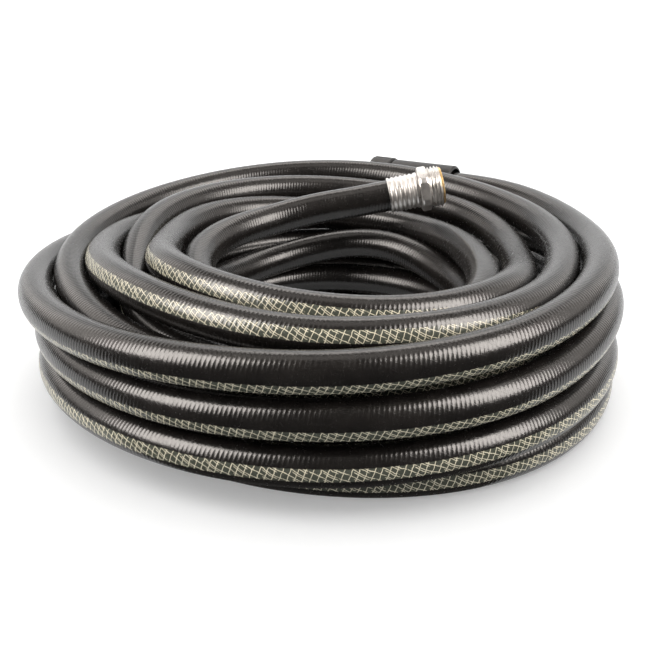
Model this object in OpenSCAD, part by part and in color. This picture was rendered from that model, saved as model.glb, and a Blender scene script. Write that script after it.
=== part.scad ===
// Coiled reinforced PVC rinse hose with a male hose coupling on one end and a
// swivelling female hose coupling in a black sleeve grip on the other.
// Units are millimetres, +Z is up, the floor is z = 0.

/* [Hose] */
// Outside diameter of the hose
hose_d = 20.5; // [19:0.5:21]
// Bore of the hose
hose_bore = 15.9; // [15:0.1:16.4]

/* [Coil] */
// Radius of the middle of the outermost turns
coil_r = 176; // [174:0.5:177]
// Radial distance from one turn to the next
turn_pitch = 22; // [21.5:0.5:22.5]
// How far the axis of the coil lies in front of the middle of the whole object
coil_shift = 8; // [4:1:10]

/* [Male coupling] */
// Length of the crimped sleeve
male_ferrule_l = 20.2; // [18:0.2:21]
// Outside diameter of the crimped sleeve over its ridges
male_ferrule_d = 23.4; // [23:0.1:25]
// Distance across the flats of the hexagon collar
male_hex_af = 27.2; // [26.6:0.1:30]
// Width of the hexagon collar
male_hex_w = 6.6; // [5:0.1:8]
// Outside diameter of the male thread
male_thread_d = 27; // [26.8:0.05:27.1]
// Length of the male thread
male_thread_l = 8.1; // [7:0.1:11]
// Diameter of the brass lip at the mouth
male_lip_d = 24.6; // [22:0.1:25.4]

/* [Female coupling] */
// Outside diameter of the sleeve grip
grip_d = 30; // [28:0.5:31]
// Inside diameter of the open rear end of the sleeve grip
grip_mouth_d = 26; // [25:0.5:26.5]
// Outside diameter of the swivel nut
nut_d = 32; // [31:0.5:33]
// Diameter of the internal thread of the swivel nut
nut_thread_d = 27.2; // [27:0.05:27.4]
// Number of grip flutes around the swivel nut
nut_flutes = 12; // [8:1:16]
// Thickness of the rubber washer
washer_t = 2.8; // [2:0.1:2.8]

/* [Hidden] */

hose_r = hose_d / 2;
bore_r = hose_bore / 2;
fit = 0.05;          // radial clearance of a running fit
hose_black = "#2b2a2b";
metal_silver = "#d2d0cc";
metal_brass = "#c9a45c";
grip_black = "#1b1c1d";

// The free male end: its place, the turn of its axis about Z, and its tilt.
male_at = [38, 62, 97];
male_turn = 2;
male_tilt = 11;

// The female end: place of the last of the curved hose, and heading.
female_at_angle = 56;
female_at_r = 180.5;
female_at_z = 83;
female_heading = 150;

// Key points of the free male end, from inside the coil to the coupling.
male_keys = [
    [-30, -90, 65], [-65, -60, 70], [-80, -20, 75], [-70, 20, 80],
    [-35, 50, 85], [0, 60, 90], male_at
];

// Key points of the last turn, as [angle, radius, height], from inside the
// coil at the back, once around on top of the outermost turns, to the grip.
female_keys = [
    [110, 180, 55], [155, 180, 60], [200, 175, 65], [245, 175, 70], [290, 170, 75],
    [335, 160, 80], [375, 165, 80], [400, 180, 80], [360 + female_at_angle, female_at_r, female_at_z]
];

// A smooth curve through the key points k, with n steps from each to the next.
function between(a, b, c, d, u) =
    0.5 * (2 * b + (c - a) * u + (2 * a - 5 * b + 4 * c - d) * u * u + (3 * b - a - 3 * c + d) * u * u * u);
function smooth(k, n) = let (m = len(k) - 1) concat(
    [for (i = [0:m - 1], j = [0:n - 1])
        between(k[max(i - 1, 0)], k[i], k[i + 1], k[min(i + 2, m)], j / n)],
    [k[m]]
);

function polar(p) = [p[1] * cos(p[0]), p[1] * sin(p[0]), p[2]];
function unit(v) = v / norm(v);

// Sweeps a closed tube of radius r and n sides along the points p.
module tube(p, r, n = 12) {
    m = len(p);
    t = [for (i = [0:m - 1]) unit(p[min(i + 1, m - 1)] - p[max(i - 1, 0)])];
    rings = [
        for (i = [0:m - 1])
            let (s = unit(cross(t[i], [0, 0, 1])), u = cross(s, t[i]))
                for (k = [0:n - 1]) p[i] + r * (cos(360 * k / n) * s + sin(360 * k / n) * u)
    ];
    sides = [
        for (i = [0:m - 2], k = [0:n - 1])
            let (a = i * n + k, b = i * n + (k + 1) % n)
                [a, a + n, b + n, b]
    ];
    polyhedron(
        rings,
        concat(sides, [[for (k = [0:n - 1]) k]], [[for (k = [n - 1:-1:0]) (m - 1) * n + k]]),
        convexity = 6
    );
}

module at_coil() {
    translate([0, -coil_shift, 0]) children();
}

module at_male() {
    at_coil() translate(male_at) rotate([0, 90 - male_tilt, male_turn]) children();
}

module at_female() {
    at_coil()
        translate(polar([female_at_angle, female_at_r, female_at_z]))
            rotate([0, 90, female_heading]) children();
}

// Outer shape of the wound hose: five turns wide and four turns high, with the
// top row left free on the outermost and innermost turns for the two ends.
module coil_outline() {
    rows = [3, 4, 4, 4, 3];
    for (c = [0:4], k = [0:rows[c] - 1])
        translate([coil_r - turn_pitch * (4 - c), hose_r + k * hose_d]) circle(hose_r, $fn = 64);
    inner = coil_r - 4 * turn_pitch - 4;
    translate([inner + 4, 0]) square([4 * turn_pitch, hose_r]);
    translate([inner, hose_r]) square([4 * turn_pitch + 8, 2.2 * hose_d]);
    translate([inner + turn_pitch, hose_r]) square([2 * turn_pitch + 8, 3.2 * hose_d]);
}

module hose_coil() {
    color(hose_black) at_coil() rotate_extrude($fn = 128) coil_outline();
}

// All points of the route p but the last, then a short straight stretch along
// the direction t to the point e, so that the tube meets its end squarely.
function squared(p, e, t) = concat([for (i = [0:len(p) - 2]) p[i]], [e - 4 * t, e]);

module hose_male_lead() {
    t = [cos(male_tilt) * cos(male_turn), cos(male_tilt) * sin(male_turn), sin(male_tilt)];
    color(hose_black) at_coil() tube(squared(smooth(male_keys, 2), male_at, t), hose_r);
}

module hose_female_lead() {
    t = [cos(female_heading), sin(female_heading), 0];
    e = polar([female_at_angle, female_at_r, female_at_z]);
    color(hose_black) at_coil() tube(squared([for (p = smooth(female_keys, 3)) polar(p)], e, t), hose_r);
}

// A straight end of the hose with its true bore, z from 0.
module hose_end(l) {
    difference() {
        cylinder(h = l, r = hose_r, $fn = 64);
        translate([0, 0, -1]) cylinder(h = l + 2, r = bore_r, $fn = 64);
    }
}

module hose_male_end() {
    color(hose_black) at_male() translate([0, 0, 0.02]) hose_end(16);
}

module hose_female_end() {
    color(hose_black) at_female() translate([0, 0, 0.02]) hose_end(45.8);
}

// Crimped sleeve with rounded ridges: a body of length l with a front lip
// that closes to the radius lip_r.
module crimped(l, r, inner_r, lip_r, lip_w, ridges) {
    pitch = (l - 2.4) / ridges;
    rotate_extrude($fn = 64)
        polygon(concat(
            [[inner_r, 0], [r - 0.5, 0], [r, 0.5]],
            [
                for (i = [0:ridges - 1], q = [[0, 1.2], [-0.75, 1.2 + pitch * 0.3], [-0.75, 1.2 + pitch * 0.5], [0, 1.2 + pitch * 0.8]])
                    [r + q[0], q[1] + i * pitch]
            ],
            [[r, l - 0.5], [r - 0.5, l], [lip_r, l], [lip_r, l - lip_w], [inner_r, l - lip_w]]
        ));
}

module male_ferrule() {
    color(metal_silver) at_male() crimped(male_ferrule_l, male_ferrule_d / 2, hose_r + 0.1, 9.6, 3.2, 6);
}

module male_body() {
    z1 = male_ferrule_l + 0.2;
    z2 = z1 + male_hex_w;
    color(metal_silver)
        at_male() difference() {
            union() {
                translate([0, 0, 17.1]) cylinder(h = 4, r = 9.5, $fn = 64);
                intersection() {
                    translate([0, 0, z1]) cylinder(h = male_hex_w, r = male_hex_af / sqrt(3), $fn = 6);
                    // rounds the corners of the hexagon on both faces
                    translate([0, 0, z1]) rotate_extrude($fn = 64)
                        polygon([[0, 0], [male_hex_af / 2 - 0.1, 0], [male_hex_af / 2 + 1.1, 1], [male_hex_af / 2 + 1.1, male_hex_w - 1], [male_hex_af / 2 - 0.1, male_hex_w], [0, male_hex_w]]);
                }
                translate([0, 0, z2 - 0.5]) cylinder(h = 1.2, r = 12.4, $fn = 64);
                translate([0, 0, z2 + 0.6]) cylinder(h = male_thread_l - 0.6, r = male_thread_d / 2, $fn = 96);
            }
            translate([0, 0, 16]) cylinder(h = 40, r = bore_r, $fn = 64);
        }
}

// Brass tube that is expanded inside the hose end. Its rolled lip covers the
// mouth of the male thread.
module male_insert() {
    z3 = male_ferrule_l + 0.2 + male_hex_w + male_thread_l;
    color(metal_brass)
        at_male() difference() {
            union() {
                translate([0, 0, 1]) cylinder(h = z3 - 0.5, r = bore_r - fit, $fn = 64);
                translate([0, 0, z3]) rotate_extrude($fn = 64)
                    polygon([[0, 0], [male_lip_d / 2, 0], [male_lip_d / 2, 0.6], [male_lip_d / 2 - 0.7, 1.3], [8.2, 1.3], [0, 1.3]]);
            }
            cylinder(h = 60, r = bore_r - 1, $fn = 64);
        }
}

module female_ferrule() {
    color(metal_silver) at_female() translate([0, 0, 26]) crimped(22, 11.8, hose_r + 0.1, 8.6, 2, 6);
}

module female_stem() {
    color(metal_brass)
        at_female() difference() {
            union() {
                translate([0, 0, 27]) cylinder(h = 19, r = bore_r - fit, $fn = 64);
                // three shallow barbs that hold the hose
                for (z = [29, 34, 39]) translate([0, 0, z])
                    cylinder(h = 3, r1 = bore_r - 0.6, r2 = bore_r - fit, $fn = 64);
                translate([0, 0, 45.9]) cylinder(h = 17.4, r = 8.5, $fn = 64);
                translate([0, 0, 63]) cylinder(h = 2, r = 11.5, $fn = 64);
            }
            cylinder(h = 80, r = 6.5, $fn = 64);
        }
}

module female_grip() {
    color(grip_black)
        at_female() rotate_extrude($fn = 96)
            polygon([
                [grip_mouth_d / 2, 8.6], [grip_d / 2 - 0.9, 8.6], [grip_d / 2, 9.6], [grip_d / 2, 58.8],
                [grip_d / 2 - 0.8, 59.6], [8.6, 59.6], [8.6, 50], [12, 50], [12, 24], [grip_mouth_d / 2, 22]
            ]);
}

module female_nut() {
    color(grip_black)
        at_female() difference() {
            rotate_extrude($fn = 96)
                polygon([
                    [8.5 + fit, 60.2], [nut_d / 2 - 1, 60.2], [nut_d / 2, 61.2], [nut_d / 2, 76.4], [nut_d / 2 - 0.6, 77],
                    [nut_thread_d / 2, 77], [nut_thread_d / 2, 68], [13, 68], [13, 62.9], [8.5 + fit, 62.9]
                ]);
            for (i = [0:nut_flutes - 1]) rotate(i * 360 / nut_flutes)
                translate([nut_d / 2 + 1.1, 0, 62.5]) cylinder(h = 20, r = 1.9, $fn = 24);
        }
}

module female_washer() {
    color("#3a3a3a")
        at_female() translate([0, 0, 65.1]) difference() {
            cylinder(h = washer_t, r = 12.95, $fn = 64);
            translate([0, 0, -1]) cylinder(h = washer_t + 2, r = 7, $fn = 64);
        }
}

hose_coil();
hose_male_lead();
hose_female_lead();
hose_male_end();
male_ferrule();
male_body();
male_insert();
hose_female_end();
female_ferrule();
female_stem();
female_grip();
female_nut();
female_washer();
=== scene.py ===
import math

import bpy
import numpy as np
from mathutils import Matrix, Vector


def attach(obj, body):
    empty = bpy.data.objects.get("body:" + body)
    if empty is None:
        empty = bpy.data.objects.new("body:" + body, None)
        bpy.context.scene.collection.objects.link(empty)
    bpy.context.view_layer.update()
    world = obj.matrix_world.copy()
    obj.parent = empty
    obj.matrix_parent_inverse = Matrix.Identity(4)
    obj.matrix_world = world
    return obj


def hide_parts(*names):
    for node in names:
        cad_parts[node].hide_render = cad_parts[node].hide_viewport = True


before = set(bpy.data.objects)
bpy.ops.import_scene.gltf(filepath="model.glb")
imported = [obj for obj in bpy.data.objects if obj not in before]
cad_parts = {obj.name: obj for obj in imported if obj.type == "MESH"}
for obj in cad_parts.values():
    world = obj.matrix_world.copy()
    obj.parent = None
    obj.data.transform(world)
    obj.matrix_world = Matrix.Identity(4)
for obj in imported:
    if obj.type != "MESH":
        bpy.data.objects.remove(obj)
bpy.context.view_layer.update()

MM = 0.001
COIL_Y = -8.0                      # the coil's axis lies 8 mm in front of the row origin
HOSE_R = 10.25
BORE_R = 7.95


# ---------------------------------------------------------------- camera
cam_data = bpy.data.cameras.new("camera")
cam = bpy.data.objects.new("camera", cam_data)
bpy.context.scene.collection.objects.link(cam)
cam.location = (-0.0020, -0.5686, 0.2439)
cam.rotation_euler = (math.radians(90 - 20.93), 0.0, math.radians(0.36))
cam_data.sensor_width = 36.0
cam_data.lens = 948.5 / 646 * 36
cam_data.clip_start = 0.01
cam_data.clip_end = 30
bpy.context.scene.camera = cam


# ---------------------------------------------------------------- the hose's route
# The free ends, as in the CAD: where the coupling starts, and its axis.
def direction(heading, tilt):
    h, e = math.radians(heading), math.radians(tilt)
    return np.array([math.cos(e) * math.cos(h), math.cos(e) * math.sin(h), math.sin(e)])


MALE_AT = np.array([38.0, 62.0 + COIL_Y, 97.0])
MALE_DIR = direction(2, 11)
a = math.radians(56)
FEMALE_AT = np.array([180.5 * math.cos(a), 180.5 * math.sin(a) + COIL_Y, 83.0])
FEMALE_DIR = direction(150, 0)

# Radius and height of the hose's centreline in millimetres, every 15 degrees
# around the coil from 75 degrees on, one line for each turn.
ROUTE = """
    63.2,92.9 60.7,90.4 60.9,87.7 62.2,84.8 64.7,82.6 68.6,81 73.3,79.3 78.1,76.8 82.6,73.7 86.7,70.7 90.2,68.2 92.6,65.9 93.7,63.7 93.6,61.6 92.4,59.5 90.8,57.2 89,54.8 87.1,52.7 85.3,51 83.6,50 82,50.4 80.8,52.8 80.6,56.6 81.3,59.2
    81.9,59 81.7,56.3 80.5,52.9 78.8,50.2 77.4,48.6 77,48.4 78,49.2 80,50.2 82,50.5 83.6,49.9 84.6,48.5 85.2,46.8 85.5,44.9 85.8,42.7 85.9,40 86.1,37.2 86.4,34.5 86.9,32.2 87.6,30.6 88.2,30.1 88.3,30.2 88.1,30.6 87.8,30.7 87.4,30.8
    87.2,30.8 87.1,30.8 87.2,30.8 87.3,30.8 87.5,30.8 87.3,30.7 86.8,30.7 85.6,30.5 84.1,30.1 82.5,29.4 80.8,28.3 79,27.2 76.9,26.3 74.5,25.5 72.2,24.7 71.3,22.8 72.5,19.3 75.3,15.3 78.7,12.2 81.6,10.6 83.8,10.2 85.3,10.3 86.3,10.3 86.9,10.3
    87.2,10.3 87.2,10.3 87.2,10.3 87.3,10.3 87.6,10.2 88,10.3 88.5,10.2 88.9,10.2 89.2,10.2 89.8,10.2 90.5,10.2 90.6,10.2 89.8,10.2 88.1,10.2 86.8,10.2 87.5,10.2 90.9,10.2 95.2,10.2 99.2,10.2 102.3,10.2 104.5,10.2 105.9,10.2 106.9,10.2 107.9,10.2
    108.8,10.2 109.4,10.2 109.8,10.2 109.9,10.2 109.9,10.2 109.8,10.3 109.7,10.2 109.5,10.3 109.7,10.3 110.3,10.2 111,10.2 111.1,10.2 110.3,10.3 108.7,10.3 107.3,10.2 108,10.2 111.4,10.2 115.7,10.2 119.7,10.2 123,10.3 125.5,10.2 127.6,10.2 128.9,10.2 129.6,10.2
    130,10.3 130.2,10.3 130.3,10.3 130.4,10.3 130.4,10.3 130.3,10.2 130.2,10.3 130,10.3 130.2,10.2 130.8,10.3 131.5,10.3 131.6,10.3 130.8,10.2 129.2,10.4 127.6,13 126.6,18.9 125.7,24.9 123.8,29.1 120.7,30.7 117.2,30.2 114.3,29.7 112.1,29.9 110.6,30.4 109.4,30.7
    108.5,30.8 107.9,30.7 107.8,30.7 107.9,30.6 108,30.7 107.9,30.7 107.6,30.7 107.2,30.6 106.8,30.5 106.5,30.4 106.6,30.3 106.9,30.3 107.2,30.5 107.4,31.2 107.4,32.5 107.3,34.6 106.8,37.3 105.8,40.3 104.6,43.5 104.5,46.3 105.9,48.4 107.5,49.8 108.7,50.8 109.4,51.2
    109.5,51.2 109.1,51.2 108.7,51.1 108.2,51.1 107.8,51.2 107.4,51.2 106.8,51.1 106.1,51.1 105.9,51 106.6,50.9 108.4,50.7 110.4,50.8 112,52 113,54.5 112.9,58.3 110.5,62.8 105.5,66.9 98.9,69.5 92.7,70.3 89.5,69.9 89.9,69.4 93.2,69.2 96.9,69.1 99.8,69.4
    102,70.7 104.1,73.1 106.1,76.1 107.5,78.6 107.5,80 105.5,80 102.2,79.5 100.3,80.2 102.4,82.7 107.5,86 113.1,87.5 117.5,86.5 120.8,84 123.4,81.6 125.3,79.9 125.5,79.3 122.9,78.8 118.1,76.6 114,72.6 114.4,69.6 119.3,70.1 125.6,73.4 129.8,77.1 131.4,79.9
    132.1,82.4 132.6,84.6 132.7,86 132.1,86.4 130.6,85.9 127.6,84 123.3,79.7 119.6,73.3 120,66.9 124,61.8 127.9,57.5 130.8,54.1 132.5,51.6 133,49.9 132.2,48.9 130.1,48.5 127.2,49.1 124.6,50.2 123.8,51 124.8,50.8 126.7,50.7 128.4,50.9 129.8,51.1 131,51.4
    132.5,52.3 134.7,54.7 137.7,58.8 141.3,64.3 144.4,69.5 145.3,72.8 143.3,74.4 139.9,76.2 136.8,78.7 135.6,81.2 137.3,82.3 141.1,81.5 145.2,79.8 148,78.7 148.7,78.8 147.1,78.7 143.5,78.2 139.5,77.9 137.7,78 139.9,78.5 144.5,79.8 149.1,82 152.1,85 154.7,88.1
    158.6,90.2 163.3,90.6 166.8,89 168.5,85.9 168.6,82 167,78 164,74.1 159.6,70.6 155,67.9 152.4,65.3 152.4,62.5 153.5,60.1 153.9,58.7 153.1,58.4 151.3,58.5 148.8,58.2 146.3,57 144.5,55.3 144.1,53.4 145.4,51.3 147.5,49.2 149.4,47.5 150.6,46.3 151.4,45.4
    151.9,44.7 152.2,44.1 152.2,43.6 151.9,43.3 151.3,42.9 150.6,42.4 149.8,41.9 149.1,41.2 148.8,40.3 149.2,39.3 150.4,38.4 152.3,37.7 155.1,37.6 157.7,38.4 158.5,39.3 155.8,38.9 150.8,37 145.6,34.8 141.2,33.1 137.6,32.2 134.7,31.5 132.6,30.9 131.1,30.7 130.1,30.7
    129.4,30.8 129,30.7 128.9,30.7 128.8,30.7 128.8,30.7 128.9,30.7 128.9,30.7 128.9,30.7 128.9,30.7 129.3,30.7 130.2,30.8 132.2,30.9 135.6,30.2 140.2,27.8 144.9,24 147,20.4 145.2,17.2 142.9,14.3 142.2,12.6 143.6,12.6 145.7,14.2 147.3,16.5 148.1,18.6 148.5,20
    148.5,20.6 148.5,20.8 148.4,20.7 148.4,20.4 148.4,20.1 148.4,20 148.3,19.8 148.4,19.4 149,18.6 150.1,17.3 151.8,15.7 153.8,14.4 156.4,13.3 159.5,12 162.7,10.9 164.8,10.3 164.6,10.2 163,10.3 162.6,10.3 163.9,10.3 165.8,10.2 166.8,10.2 166.9,10.2 166.7,10.4
    166.7,11 167.1,12.3 167.8,14 168.4,16 168.8,17.8 168.9,19.4 168.8,21 168.7,22.5 168.8,23.8 169.3,24.5 170.3,24.6 171.8,24.6 173.5,24.8 174.9,25.6 175.2,27.1 173.6,28.8 170,30 165.9,30.6 163.4,30.7 163.5,30.8 165.2,30.7 167.3,30.8 168.9,31.4 170.1,32.4
    171,34 171.5,35.7 171.9,37.3 171.9,38.8 171.6,40.1 171.1,41.2 170.3,42.2 169.5,43.3 169,44.4 169.1,45.4 170.1,46.2 171.7,46.9 173.6,47.9 175.3,49.3 175.5,50.6 173,52.2 168.9,54.8 165.2,57.8 163.8,59.3 165.1,58.3 168.2,55.8 171.5,53.6 174.1,52.6 176.1,52.7
    177.9,53.6 179.5,54.8 180.7,56.2 181.7,57.7 182.3,59.4 182.4,61.2 181.4,62.6 179,63.9 176.2,65.2 174.5,66.7 174.3,68.5 174.7,70.3 174.7,71.6 173.8,72.5 171.7,73.9 168.5,75.9 164.3,78.2 160.6,79.7 159.1,79.9 161.3,79.1 167.4,78.5 175.7,79.8 181.6,82.2
"""


def spline(x, y, q):
    """Natural cubic spline through x, y, at q."""
    n = len(x)
    h = np.diff(x)
    rhs = np.zeros(n)
    rhs[1:-1] = 6 * (np.diff(y[1:]) / h[1:] - np.diff(y[:-1]) / h[:-1])
    low, diag, up = np.zeros(n), np.ones(n), np.zeros(n)
    low[1:-1], diag[1:-1], up[1:-1] = h[:-1], 2 * (h[:-1] + h[1:]), h[1:]
    for i in range(1, n):
        w = low[i] / diag[i - 1]
        diag[i] -= w * up[i - 1]
        rhs[i] -= w * rhs[i - 1]
    m = np.zeros(n)
    m[-1] = rhs[-1] / diag[-1]
    for i in range(n - 2, -1, -1):
        m[i] = (rhs[i] - up[i] * m[i + 1]) / diag[i]
    k = np.clip(np.searchsorted(x, q) - 1, 0, n - 2)
    t, hh = q - x[k], h[k]
    return (y[k] + t * ((y[k + 1] - y[k]) / hh - hh * (2 * m[k] + m[k + 1]) / 6)
            + t ** 2 * m[k] / 2 + t ** 3 * (m[k + 1] - m[k]) / (6 * hh))


pairs = np.array([[float(v) for v in p.split(",")] for p in ROUTE.split()])
first = math.degrees(math.atan2(62, 38))
last = 18 * 360 + 56.0
angle = np.concatenate([[first], 75 + 15.0 * np.arange(len(pairs)), [last]])
radius = np.concatenate([[math.hypot(38, 62)], pairs[:, 0], [180.5]])
height = np.concatenate([[97.0], pairs[:, 1], [83.0]])
q = np.arange(first, last, 0.5)
rq, zq = spline(angle, radius, q), spline(angle, height, q)
line = np.stack([rq * np.cos(np.radians(q)), rq * np.sin(np.radians(q)) + COIL_Y, zq], -1)
head = MALE_AT + MALE_DIR * np.arange(16, 0, -2.0)[:, None]
tail = FEMALE_AT + FEMALE_DIR * np.append(np.arange(0, 45.8, 2.0), 45.8)[:, None]
line = np.concatenate([head, line, tail])
turn_of_line = np.concatenate([np.full(len(head), first), q, np.full(len(tail), last)])

PERIOD = 13.2                      # the yarn pattern repeats after this length
RINGS = 2                          # rings of the mesh for each repeat
step = PERIOD / RINGS
arc = np.append(0, np.cumsum(np.linalg.norm(np.diff(line, axis=0), axis=1)))
s = np.append(np.arange(0, arc[-1] - 1.0, step), arc[-1])
centre = np.stack([np.interp(s, arc, line[:, i]) for i in range(3)], -1)
turn = np.interp(s, arc, turn_of_line)
for _ in range(3):                 # eases the small change of bend at the two couplings
    near = np.concatenate([np.arange(3, 14), np.arange(len(s) - 20, len(s) - 8)])
    mid = (centre[near - 1] + centre[near + 1]) / 2
    centre[near] += 0.5 * (mid - centre[near])
centre[:, 2] = np.maximum(centre[:, 2], HOSE_R + 0.02)

# The clear stripe's place around the hose: degrees above the outward flank.
STRIPE = [
    (58, -32), (700, -32), (1100, -16), (2700, 0), (3020, 14), (3080, 24), (3150, 24), (3180, 12), (3210, -14), (3245, -42),
    (3420, -20), (3700, 14), (3800, 26), (3870, 28), (3900, 16), (3930, -12), (3965, -45),
    (4200, -20), (4600, 0), (5310, 0), (5670, 2), (5760, -2), (5940, -24), (6030, -25), (6250, -28), (6390, -33), (6470, -28), (6560, -22),
]
stripe = np.interp(turn, [p[0] for p in STRIPE], [p[1] for p in STRIPE])
stripe = np.convolve(np.pad(stripe, 10, mode="edge"), np.ones(21) / 21, mode="valid")


# ---------------------------------------------------------------- mesh helpers
def new_object(name, verts, faces, smooth=True):
    mesh = bpy.data.meshes.new(name)
    mesh.from_pydata([tuple(v) for v in verts], [], faces)
    mesh.validate()
    obj = bpy.data.objects.new(name, mesh)
    bpy.context.scene.collection.objects.link(obj)
    if smooth:
        mesh.polygons.foreach_set("use_smooth", [True] * len(mesh.polygons))
    return obj


def axes(direction_):
    t = direction_ / np.linalg.norm(direction_)
    side = np.cross(t, [0, 0, 1.0])
    side /= np.linalg.norm(side)
    return side, np.cross(side, t), t


def make_hose():
    sides = 32
    tangent = np.gradient(centre, axis=0)
    tangent /= np.linalg.norm(tangent, axis=1)[:, None]
    out = np.cross(tangent, [0, 0, 1.0])
    out /= np.linalg.norm(out, axis=1)[:, None]
    up = np.cross(out, tangent)
    n = len(s)
    # a column starts opposite the stripe, so the stripe is at half a turn
    k = np.arange(sides)
    ang = np.radians(stripe)[:, None] + math.pi + 2 * math.pi * k / sides
    ring = centre[:, None] + HOSE_R * (np.cos(ang)[..., None] * out[:, None] + np.sin(ang)[..., None] * up[:, None])
    verts = ring.reshape(-1, 3)
    faces, uv_along, uv_bake = [], [], []
    block = 8 * RINGS              # eight repeats share one stretch of the baked picture
    for i in range(n - 1):
        v0 = (i % block) / block
        v1 = v0 + (s[i + 1] - s[i]) / step / block
        x0, x1 = s[i] / PERIOD, s[i + 1] / PERIOD
        for j in range(sides):
            j1 = (j + 1) % sides
            faces.append((i * sides + j, (i + 1) * sides + j, (i + 1) * sides + j1, i * sides + j1))
            y0, y1 = j / sides, (j + 1) / sides
            uv_along += [(x0, y0), (x1, y0), (x1, y1), (x0, y1)]
            uv_bake += [(y0, v0), (y0, v1), (y1, v1), (y1, v0)]
    # cut ends: a flat ring, the bore, and the dark inside
    verts = list(verts)
    for end, inward in ((0, 1), (n - 1, -1)):
        base = len(verts)
        c, t = centre[end], tangent[end] * inward
        e = ang[end]
        rim = np.cos(e)[:, None] * out[end] + np.sin(e)[:, None] * up[end]
        verts += list(c + BORE_R * rim) + list(c + BORE_R * rim + t * 17)
        verts.append(c + t * 17)
        for j in range(sides):
            j1 = (j + 1) % sides
            a_, b_ = end * sides + j, end * sides + j1
            quads = [(a_, b_, base + j1, base + j), (base + j, base + j1, base + sides + j1, base + sides + j)]
            tri = (base + sides + j, base + sides + j1, base + 2 * sides)
            if inward < 0:
                quads = [f[::-1] for f in quads]
                tri = tri[::-1]
            for f in quads:
                faces.append(f)
                uv_along += [(0.13, 0.02)] * 4
                uv_bake += [(0.02, 0.02)] * 4
            faces.append(tri)
            uv_along += [(0.13, 0.02)] * 3
            uv_bake += [(0.02, 0.02)] * 3
    obj = new_object("hose", np.array(verts) * MM, faces)
    mesh = obj.data
    for name, data in (("Along", uv_along), ("OFBake", uv_bake)):
        layer = mesh.uv_layers.new(name=name)
        layer.data.foreach_set("uv", np.array(data, dtype=np.float32).ravel())
    return obj


hose = make_hose()
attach(hose, "hose")
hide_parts("hose_coil", "hose_male_lead", "hose_female_lead", "hose_male_end", "hose_female_end")


# ---------------------------------------------------------------- turned pieces
def turned(name, at, axis, profile, columns=96, closed=True, shape=None):
    """A piece turned about the axis. profile holds (z, r); shape(z, r, angle) may change r."""
    side, up, t = axes(axis)
    ang = 2 * math.pi * np.arange(columns) / columns
    verts = []
    for z, r in profile:
        rr = np.full(columns, float(r)) if shape is None else np.array([shape(z, r, g) for g in ang])
        verts += list(at + t * z + rr[:, None] * (np.cos(ang)[:, None] * side + np.sin(ang)[:, None] * up))
    m = len(profile)
    faces = []
    for i in range(m if closed else m - 1):
        i1 = (i + 1) % m
        for j in range(columns):
            j1 = (j + 1) % columns
            faces.append((i * columns + j, i1 * columns + j, i1 * columns + j1, i * columns + j1))
    return new_object(name, np.array(verts) * MM, faces)


def flat_edges(obj, degrees=32):
    mesh = obj.data
    mesh.set_sharp_from_angle(angle=math.radians(degrees))
    return obj


THREAD_PITCH = 25.4 / 11.5


def make_male_body():
    hex_low, hex_high, af = 20.4, 27.0, 27.2
    thread_low, thread_high = 27.6, 35.1
    outer = [(17.1, 9.5), (20.4, 9.5), (20.4, 12.8)]
    for z in np.linspace(0, 1, 12):
        outer.append((hex_low + (hex_high - hex_low) * z, 99.0))
    outer += [(27.0, 12.4)]
    for z in np.arange(thread_low - 0.5, thread_high - 0.01, 0.17):
        outer.append((z, 77.0))
    outer += [(thread_high, 12.0), (thread_high, BORE_R), (17.1, BORE_R)]

    def shape(z, r, g):
        if r == 99.0:
            turn_ = (g + math.radians(25)) % (math.pi / 3) - math.pi / 6
            hexagon = af / 2 / math.cos(turn_)
            edge = min(z - hex_low, hex_high - z)
            round_ = af / 2 - 0.25 + 1.75 * edge if edge < 1.4 else 99
            r_ = min(hexagon - 0.12 * max(0, abs(turn_) / (math.pi / 6)) ** 8, round_, af / 2 + 1.1)
            return r_ - (0.25 * (1 - edge / 0.25) if edge < 0.25 else 0)
        if r == 77.0:
            phase = (z / THREAD_PITCH - g / (2 * math.pi)) % 1.0
            ridge = max(0.0, min(1.0, (0.5 - abs(phase - 0.5)) * 3.1 - 0.25))
            ridge = ridge * ridge * (3 - 2 * ridge)
            into = min(1.0, max(0.0, (z - thread_low + 0.3) / 0.9))
            outof = min(1.0, max(0.0, (thread_high - z) / 0.8))
            return 12.25 + 1.25 * ridge * into * outof
        return r

    return flat_edges(turned("male_thread_body", MALE_AT, MALE_DIR, outer, 144, True, shape), 38)


male_body = make_male_body()
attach(male_body, "hose")
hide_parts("male_body")


# ---------------------------------------------------------------- materials
def nodes_of(name):
    mat = bpy.data.materials.new(name)
    mat.use_nodes = True
    tree = mat.node_tree
    bsdf = tree.nodes["Principled BSDF"]
    return mat, tree, bsdf


def math_node(tree, op, a_, b_=None, c_=None, clamp=False):
    node = tree.nodes.new("ShaderNodeMath")
    node.operation = op
    node.use_clamp = clamp
    for i, v in enumerate((a_, b_, c_)):
        if v is None:
            continue
        if isinstance(v, (int, float)):
            node.inputs[i].default_value = v
        else:
            tree.links.new(v, node.inputs[i])
    return node.outputs[0]


def mix_colour(tree, factor, a_, b_):
    node = tree.nodes.new("ShaderNodeMix")
    node.data_type = "RGBA"
    if isinstance(factor, (int, float)):
        node.inputs[0].default_value = factor
    else:
        tree.links.new(factor, node.inputs[0])
    for i, v in ((6, a_), (7, b_)):
        if isinstance(v, tuple):
            node.inputs[i].default_value = (*v, 1)
        else:
            tree.links.new(v, node.inputs[i])
    return node.outputs[2]


def smooth_step(tree, value, low, high):
    node = tree.nodes.new("ShaderNodeMapRange")
    node.interpolation_type = "SMOOTHSTEP"
    tree.links.new(value, node.inputs[0])
    node.inputs[1].default_value = low
    node.inputs[2].default_value = high
    return node.outputs[0]


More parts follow.
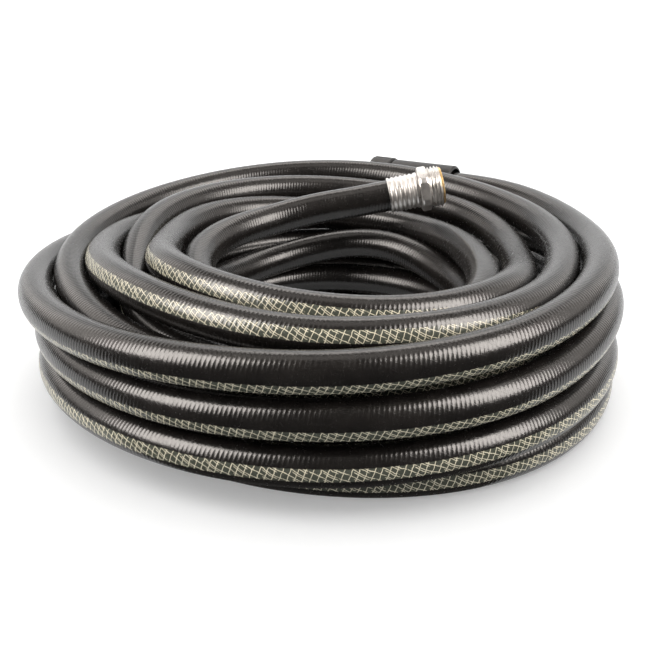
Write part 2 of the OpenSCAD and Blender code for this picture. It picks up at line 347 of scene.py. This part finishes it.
def hose_material():
    mat, tree, bsdf = nodes_of("hose_pvc")
    uv = tree.nodes.new("ShaderNodeUVMap")
    uv.uv_map = "Along"
    parts = tree.nodes.new("ShaderNodeSeparateXYZ")
    tree.links.new(uv.outputs[0], parts.inputs[0])
    x, y = parts.outputs[0], parts.outputs[1]
    m = lambda op, *v, **k: math_node(tree, op, *v, **k)
    tau = 2 * math.pi
    # noise that closes around the hose and repeats after eight periods along it
    ya, xa = m("MULTIPLY", y, tau), m("MULTIPLY", x, tau / 8)
    ring = tree.nodes.new("ShaderNodeCombineXYZ")
    tree.links.new(m("MULTIPLY", m("COSINE", ya), 10.25), ring.inputs[0])
    tree.links.new(m("MULTIPLY", m("SINE", ya), 10.25), ring.inputs[1])
    tree.links.new(m("MULTIPLY", m("COSINE", xa), 16.8), ring.inputs[2])
    w = m("MULTIPLY", m("SINE", xa), 16.8)

    def noise(scale, detail=2.0, rough=0.5):
        node = tree.nodes.new("ShaderNodeTexNoise")
        node.noise_dimensions = "4D"
        tree.links.new(ring.outputs[0], node.inputs["Vector"])
        tree.links.new(w, node.inputs["W"])
        node.inputs["Scale"].default_value = scale
        node.inputs["Detail"].default_value = detail
        node.inputs["Roughness"].default_value = rough
        return node.outputs[0]

    broad, fine, grain = noise(0.10, 2), noise(0.55, 2), noise(2.6, 2)
    wob = m("MULTIPLY", m("SUBTRACT", fine, 0.5), 0.34)
    # yarn: steep strands and shallow strands that cross
    steep = m("FRACT", m("ADD", m("SUBTRACT", m("MULTIPLY", x, 4), m("MULTIPLY", y, 7)), wob))
    steep_d = m("ABSOLUTE", m("SUBTRACT", steep, 0.5))
    sway = m("MULTIPLY", m("SINE", m("MULTIPLY", x, tau)), 0.10)
    flat_ = m("FRACT", m("ADD", m("ADD", m("MULTIPLY", x, 2), m("MULTIPLY", y, 18)), m("ADD", wob, sway)))
    flat_d = m("ABSOLUTE", m("SUBTRACT", flat_, 0.5))
    flat_b = m("ABSOLUTE", m("SUBTRACT", m("FRACT", m("ADD", flat_, 0.30)), 0.5))
    yarn_a = m("SUBTRACT", 1.0, smooth_step(tree, steep_d, 0.030, 0.085))
    yarn_b = m("SUBTRACT", 1.0, smooth_step(tree, flat_d, 0.03, 0.08))
    gate = smooth_step(tree, m("SINE", m("ADD", m("MULTIPLY", x, tau), 0.8)), -0.15, 0.35)
    yarn_c = m("MULTIPLY", m("SUBTRACT", 1.0, smooth_step(tree, flat_b, 0.03, 0.075)), gate)
    yarn_a = m("MULTIPLY", yarn_a, smooth_step(tree, broad, 0.22, 0.42))
    yarn_b = m("MULTIPLY", yarn_b, smooth_step(tree, fine, 0.26, 0.44))
    yarn = m("MAXIMUM", m("MAXIMUM", yarn_a, yarn_b), yarn_c)
    # the clear stripe
    from_stripe = m("ABSOLUTE", m("SUBTRACT", y, 0.5))
    edge = m("ADD", from_stripe, m("MULTIPLY", m("SUBTRACT", fine, 0.5), 0.012))
    window = m("SUBTRACT", 1.0, smooth_step(tree, edge, 0.046, 0.055))
    glass = mix_colour(tree, grain, (0.014, 0.017, 0.013), (0.050, 0.054, 0.043))
    thread = mix_colour(tree, grain, (0.24, 0.222, 0.165), (0.46, 0.43, 0.335))
    black = mix_colour(tree, smooth_step(tree, broad, 0.3, 0.7), (0.0032, 0.0028, 0.0026), (0.0056, 0.0049, 0.0045))
    black = mix_colour(tree, m("MULTIPLY", smooth_step(tree, grain, 0.62, 0.78), 0.35), black, (0.05, 0.047, 0.044))
    seen = mix_colour(tree, yarn, glass, thread)
    tree.links.new(mix_colour(tree, window, black, seen), bsdf.inputs["Base Color"])
    rough = m("ADD", 0.20, m("MULTIPLY", smooth_step(tree, fine, 0.25, 0.8), 0.09))
    rough = m("ADD", rough, m("MULTIPLY", m("MULTIPLY", window, yarn), 0.12))
    tree.links.new(rough, bsdf.inputs["Roughness"])
    bsdf.inputs["IOR"].default_value = 1.48
    bsdf.inputs["Specular IOR Level"].default_value = 0.5
    # ribs: the steep strands press through the skin
    rib_turn = m("ADD", m("SUBTRACT", m("MULTIPLY", x, 6), m("MULTIPLY", y, 5)), m("MULTIPLY", wob, 0.6))
    rib = m("MULTIPLY", m("SUBTRACT", 1.0, m("COSINE", m("MULTIPLY", rib_turn, tau))), 0.5)
    rib = m("POWER", rib, 1.4)
    cross = m("MULTIPLY", yarn_b, 0.12)
    dents = m("MULTIPLY", fine, 0.30)
    tiny = m("MULTIPLY", grain, 0.10)
    tall = m("ADD", m("ADD", m("MULTIPLY", rib, 0.55), cross), m("ADD", dents, tiny))
    bump = tree.nodes.new("ShaderNodeBump")
    bump.inputs["Strength"].default_value = 0.42
    bump.inputs["Distance"].default_value = 0.00028
    tree.links.new(tall, bump.inputs["Height"])
    tree.links.new(bump.outputs[0], bsdf.inputs["Normal"])
    return mat


def coords(tree):
    node = tree.nodes.new("ShaderNodeTexCoord")
    return node.outputs["Object"]


def object_noise(tree, scale, detail=2.0, vector=None, stretch=None):
    vec = vector or coords(tree)
    if stretch:
        mapping = tree.nodes.new("ShaderNodeMapping")
        mapping.inputs["Scale"].default_value = stretch
        tree.links.new(vec, mapping.inputs[0])
        vec = mapping.outputs[0]
    node = tree.nodes.new("ShaderNodeTexNoise")
    node.inputs["Scale"].default_value = scale
    node.inputs["Detail"].default_value = detail
    tree.links.new(vec, node.inputs["Vector"])
    return node.outputs[0]


def metal_material(name, low, high, rough_low, rough_high, bump_mm=0.02, grime=(0.25, 0.22, 0.18)):
    mat, tree, bsdf = nodes_of(name)
    broad = object_noise(tree, 160, 3)
    fine = object_noise(tree, 1400, 3)
    spots = object_noise(tree, 420, 4)
    base = mix_colour(tree, smooth_step(tree, broad, 0.3, 0.7), low, high)
    base = mix_colour(tree, math_node(tree, "MULTIPLY", smooth_step(tree, spots, 0.60, 0.78), 0.45), base, grime)
    tree.links.new(base, bsdf.inputs["Base Color"])
    bsdf.inputs["Metallic"].default_value = 1.0
    rough = tree.nodes.new("ShaderNodeMapRange")
    tree.links.new(math_node(tree, "ADD", math_node(tree, "MULTIPLY", broad, 0.5), math_node(tree, "MULTIPLY", fine, 0.5)), rough.inputs[0])
    rough.inputs[1].default_value, rough.inputs[2].default_value = 0.3, 0.7
    rough.inputs[3].default_value, rough.inputs[4].default_value = rough_low, rough_high
    tree.links.new(rough.outputs[0], bsdf.inputs["Roughness"])
    bump = tree.nodes.new("ShaderNodeBump")
    bump.inputs["Strength"].default_value = 0.35
    bump.inputs["Distance"].default_value = bump_mm * MM
    tree.links.new(math_node(tree, "ADD", fine, math_node(tree, "MULTIPLY", spots, 0.8)), bump.inputs["Height"])
    tree.links.new(bump.outputs[0], bsdf.inputs["Normal"])
    return mat


def plastic_material(name, low, high, rough_low, rough_high, scale, bump_mm):
    mat, tree, bsdf = nodes_of(name)
    broad = object_noise(tree, 45, 3)
    fine = object_noise(tree, scale, 3)
    base = mix_colour(tree, smooth_step(tree, broad, 0.3, 0.7), low, high)
    tree.links.new(base, bsdf.inputs["Base Color"])
    rough = tree.nodes.new("ShaderNodeMapRange")
    tree.links.new(fine, rough.inputs[0])
    rough.inputs[1].default_value, rough.inputs[2].default_value = 0.3, 0.7
    rough.inputs[3].default_value, rough.inputs[4].default_value = rough_low, rough_high
    tree.links.new(rough.outputs[0], bsdf.inputs["Roughness"])
    bump = tree.nodes.new("ShaderNodeBump")
    bump.inputs["Strength"].default_value = 0.4
    bump.inputs["Distance"].default_value = bump_mm * MM
    tree.links.new(fine, bump.inputs["Height"])
    tree.links.new(bump.outputs[0], bsdf.inputs["Normal"])
    return mat


pvc = hose_material()
silver = metal_material("silver_metal", (0.62, 0.605, 0.585), (0.78, 0.765, 0.745), 0.24, 0.40)
brass = metal_material("brass", (0.62, 0.40, 0.15), (0.80, 0.56, 0.26), 0.22, 0.38, grime=(0.35, 0.20, 0.07))
black_plastic = plastic_material("black_plastic", (0.0040, 0.0040, 0.0042), (0.0085, 0.0085, 0.0088), 0.36, 0.50, 900, 0.03)
black_plastic.node_tree.nodes["Principled BSDF"].inputs["Specular IOR Level"].default_value = 0.30
rubber = plastic_material("seal_rubber", (0.030, 0.030, 0.030), (0.050, 0.050, 0.050), 0.65, 0.85, 1500, 0.06)


def dress(obj, mat):
    if not obj.data.materials:
        obj.data.materials.append(mat)
    for slot in obj.material_slots:
        slot.material = mat


dress(hose, pvc)
dress(male_body, silver)
for node, mat in (("male_ferrule", silver), ("male_insert", brass), ("female_ferrule", silver), ("female_stem", brass),
                  ("female_grip", black_plastic), ("female_nut", black_plastic), ("female_washer", rubber)):
    dress(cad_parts[node], mat)


# ---------------------------------------------------------------- floor and light
FLOOR_SPLIT = -0.16
def make_floor(name, prof):
    xs = np.linspace(-4.0, 4.0, 5)
    verts = [(x, y, z - 0.0002) for y, z in prof for x in xs]
    faces = []
    for i in range(len(prof) - 1):
        for j in range(len(xs) - 1):
            b = i * len(xs) + j
            faces.append((b, b + 1, b + 1 + len(xs), b + len(xs)))
    return new_object(name, verts, faces)


sweep = [(2.2 + 1.0 * math.sin(g), 1.0 - 1.0 * math.cos(g)) for g in np.linspace(0, math.pi / 2, 12)]
floor = make_floor("studio_floor", [(FLOOR_SPLIT, 0.0), (2.2, 0.0)] + sweep + [(3.2, 4.5)])
front_floor = make_floor("studio_floor_front", [(-3.0, 0.0), (FLOOR_SPLIT, 0.0)])
front_floor.visible_glossy = False     # the studio is dark in front of the object


def make_surround():
    """A pale wall around the floor, open only where the sweep stands behind the object."""
    prof = [(2.1 + math.sin(g), 0.002 + 1.0 - math.cos(g)) for g in np.linspace(0, math.pi / 2, 12)] + [(3.1, 4.5)]
    arc_ = np.radians(np.linspace(145, 395, 90))
    verts = [(r * math.cos(a_), r * math.sin(a_), z) for r, z in prof for a_ in arc_]
    n = len(arc_)
    faces = [(i * n + j, i * n + j + 1, (i + 1) * n + j + 1, (i + 1) * n + j) for i in range(len(prof) - 1) for j in range(n - 1)]
    return new_object("studio_surround", verts, faces)


surround = make_surround()
surround.visible_glossy = False
mat, tree, bsdf = nodes_of("studio_floor")
bsdf.inputs["Base Color"].default_value = (0.84, 0.84, 0.84, 1)
bsdf.inputs["Roughness"].default_value = 0.9
bsdf.inputs["Specular IOR Level"].default_value = 0.0
bsdf.inputs["Emission Color"].default_value = (1, 1, 1, 1)
bsdf.inputs["Emission Strength"].default_value = 0.24
for obj in (floor, front_floor, surround):
    obj.data.materials.append(mat)

world = bpy.data.worlds.new("studio")
world.use_nodes = True
world.node_tree.nodes["Background"].inputs[0].default_value = (1, 0.95, 0.90, 1)
world.node_tree.nodes["Background"].inputs[1].default_value = 0.09
bpy.context.scene.world = world


def softbox(name, at, towards, long_way, size_x, size_y, radiance, only=None, colour=(1, 1, 1)):
    """A rectangular light of even radiance. long_way is the direction of its long side."""
    data = bpy.data.lights.new(name, "AREA")
    data.shape = "RECTANGLE"
    data.size, data.size_y = size_x, size_y
    data.energy = radiance * math.pi * size_x * size_y
    data.color = colour
    obj = bpy.data.objects.new(name, data)
    bpy.context.scene.collection.objects.link(obj)
    z = (Vector(at) - Vector(towards)).normalized()
    y = Vector(long_way)
    y = (y - z * y.dot(z)).normalized()
    x = y.cross(z)
    obj.matrix_world = Matrix.Translation(at) @ Matrix((x, y, z)).transposed().to_4x4()
    if only is not None:
        obj.light_linking.receiver_collection = only
    return obj


subject = bpy.data.collections.new("subject")
for obj in [hose, male_body] + list(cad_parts.values()):
    subject.objects.link(obj)
ground = bpy.data.collections.new("ground")
ground.objects.link(floor)
ground.objects.link(front_floor)
ground.objects.link(surround)
WARM = (1.0, 0.935, 0.88)
softbox("left_box", (-0.76, -0.36, 0.74), (0, 0, 0.05), (0, 0, 1), 0.58, 0.86, 15.0, subject, WARM)
softbox("right_box", (0.76, -0.36, 0.74), (0, 0, 0.05), (0, 0, 1), 0.58, 0.86, 15.0, subject, WARM)
softbox("top_box", (0.0, 0.10, 1.50), (0, 0, 0), (1, 0, 0), 0.7, 1.3, 1.2, subject, WARM)
softbox("back_box", (0.05, 0.95, 1.20), (0, 0, 0.06), (1, 0, 0), 0.45, 1.1, 3.9, subject, WARM)
softbox("left_rim", (-1.05, 0.45, 0.70), (0, 0, 0.05), (0, 0, 1), 1.1, 0.9, 1.9, subject, WARM)
softbox("right_rim", (1.05, 0.45, 0.70), (0, 0, 0.05), (0, 0, 1), 1.1, 0.9, 1.2, subject, WARM)
softbox("floor_light", (0.0, 0.3, 2.4), (0.0, 0.3, 0.0), (1, 0, 0), 4.0, 4.0, 1.5, ground)
softbox("sweep_light", (0.0, 1.9, 2.1), (0.0, 2.6, 0.0), (1, 0, 0), 1.2, 3.2, 1.6, ground)

scene = bpy.context.scene
scene.view_settings.view_transform = "Standard"
